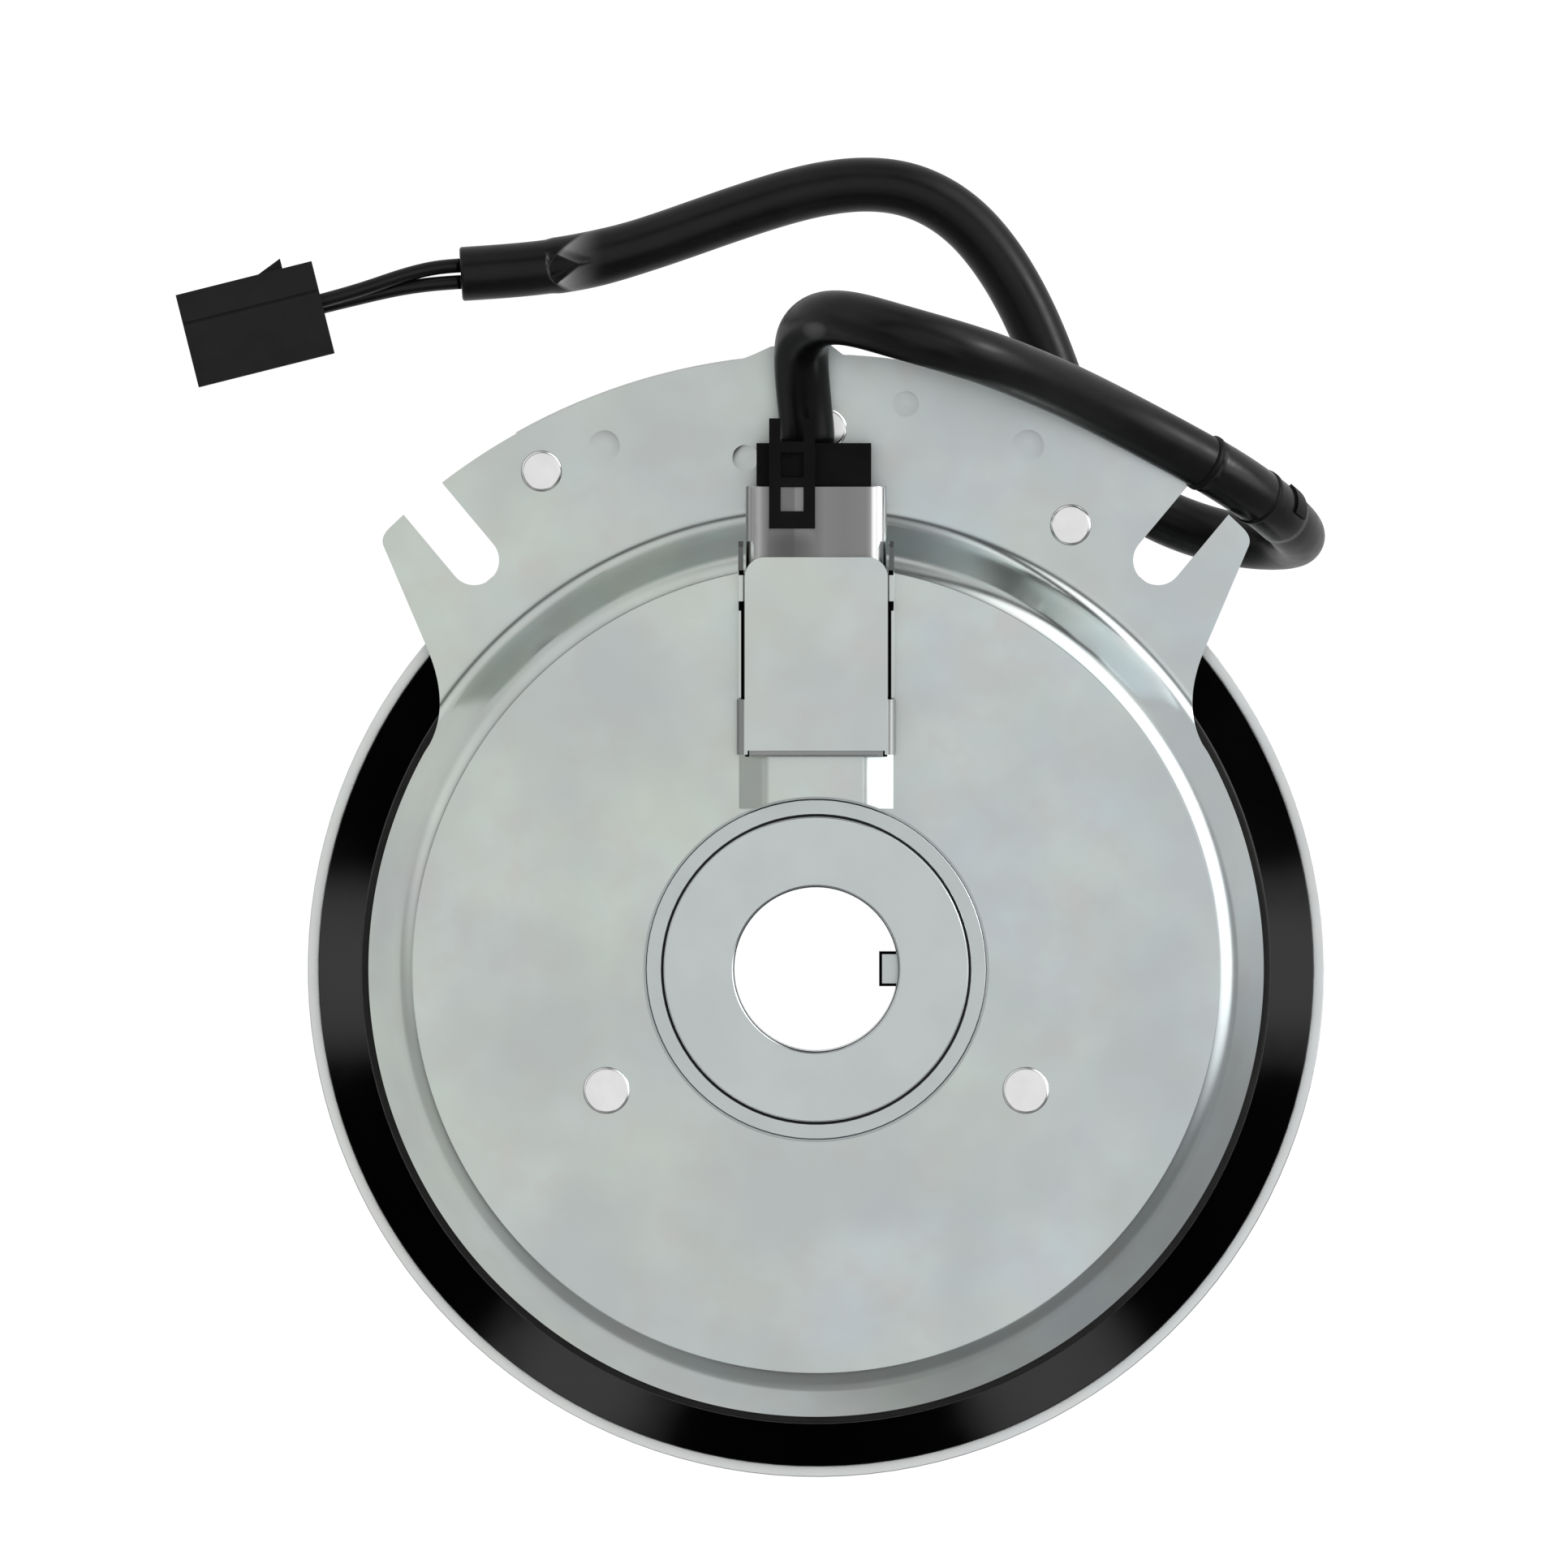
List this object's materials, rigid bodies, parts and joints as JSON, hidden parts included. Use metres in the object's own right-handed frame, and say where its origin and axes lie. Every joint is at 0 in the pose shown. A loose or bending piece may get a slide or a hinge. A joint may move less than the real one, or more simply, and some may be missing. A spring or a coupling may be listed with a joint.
{
  "type": "pto clutch",
  "caption": "Electric power take-off clutch and brake with a belt pulley, a bowl-shaped field shell with a slotted bracket, a keyed hub and a plugged lead.",
  "frame": {"origin": "on the crank axis at the lower end of the hub sleeve, in the plane of the pulley's lower rim that the clutch rests on", "axes": "+Z along the crank axis towards the engine and the field shell, +Y towards the middle of the mounting bracket and the connector, +X along the key"},
  "size_m": [0.2014, 0.2314, 0.0945],
  "materials": {
    "galvanised": "galvanised, matt with faint mottling",
    "zinc": "zinc plated pressed sheet",
    "steel": "turned steel",
    "bright_steel": "ground bright steel",
    "black_steel": "gloss black",
    "dark_steel": "dark oxide",
    "black_plastic": "moulded black",
    "black_sleeve": "smooth soft vinyl",
    "copper": "enamelled copper wire",
    "brass": "stamped brass",
    "friction": "moulded friction lining"
  },
  "bodies": {
    "field": {"field_shell": "galvanised", "coil_shell": "steel", "coil_bobbin": "black_plastic", "coil_winding": "copper", "coil_potting": "black_plastic", "shell_rivets": "bright_steel", "terminal_base": "galvanised", "terminal_block": "black_plastic", "terminal_cover": "galvanised", "terminal_shroud": "galvanised", "terminal_pins": "brass", "field_connector": "black_plastic", "brake_plate": "galvanised", "brake_lining": "friction", "brake_posts": "bright_steel", "field_bearing_outer": "bright_steel", "field_bearing_seals": "dark_steel", "lead_sleeve": "black_sleeve", "lead_wire_a": "black_sleeve", "lead_wire_b": "black_sleeve", "plug_housing": "black_plastic", "plug_terminals": "brass"},
    "rotor": {"hub_sleeve": "bright_steel", "rotor": "dark_steel", "rotor_friction_ring": "friction", "bearing_spacer": "steel", "hub_snap_ring": "dark_steel", "field_bearing_inner": "bright_steel", "pulley_bearing_inner": "bright_steel"},
    "pulley": {"pulley_upper_half": "zinc", "pulley_lower_half": "zinc", "pulley_hub": "steel", "pulley_rivets": "bright_steel", "pulley_bearing_outer": "bright_steel", "pulley_bearing_seals": "dark_steel", "pulley_snap_ring": "dark_steel", "spring_posts": "bright_steel", "armature_springs": "bright_steel"},
    "armature": {"armature": "black_steel", "armature_rivets": "bright_steel"},
    "field_cage": {"field_bearing_cage": "brass", "field_bearing_balls": "bright_steel"},
    "pulley_cage": {"pulley_bearing_cage": "brass", "pulley_bearing_balls": "bright_steel"}
  },
  "joints": [
    {"name": "rotor_spin", "type": "hinge", "parent": "field", "child": "rotor", "pos_m": [0, 0, 0.055], "axis": [0, 0, 1], "continuous": true},
    {"name": "pulley_spin", "type": "hinge", "parent": "rotor", "child": "pulley", "pos_m": [0, 0, 0.011], "axis": [0, 0, 1], "continuous": true},
    {"name": "armature_slide", "type": "slide", "parent": "pulley", "child": "armature", "axis": [0, 0, 1], "range_m": [0, 0.0005], "stiffness_N_per_m": 20000, "springref_m": -0.0005, "deforming": ["armature_springs"]},
    {"name": "field_cage_spin", "type": "hinge", "parent": "field", "child": "field_cage", "pos_m": [0, 0, 0.055], "axis": [0, 0, 1], "continuous": true},
    {"name": "pulley_cage_spin", "type": "hinge", "parent": "rotor", "child": "pulley_cage", "pos_m": [0, 0, 0.011], "axis": [0, 0, 1], "continuous": true}
  ],
  "couplings": [
    {"joint": "field_cage_spin", "follows": "rotor_spin", "ratio": 0.4378},
    {"joint": "pulley_cage_spin", "follows": "pulley_spin", "ratio": 0.5825}
  ]
}
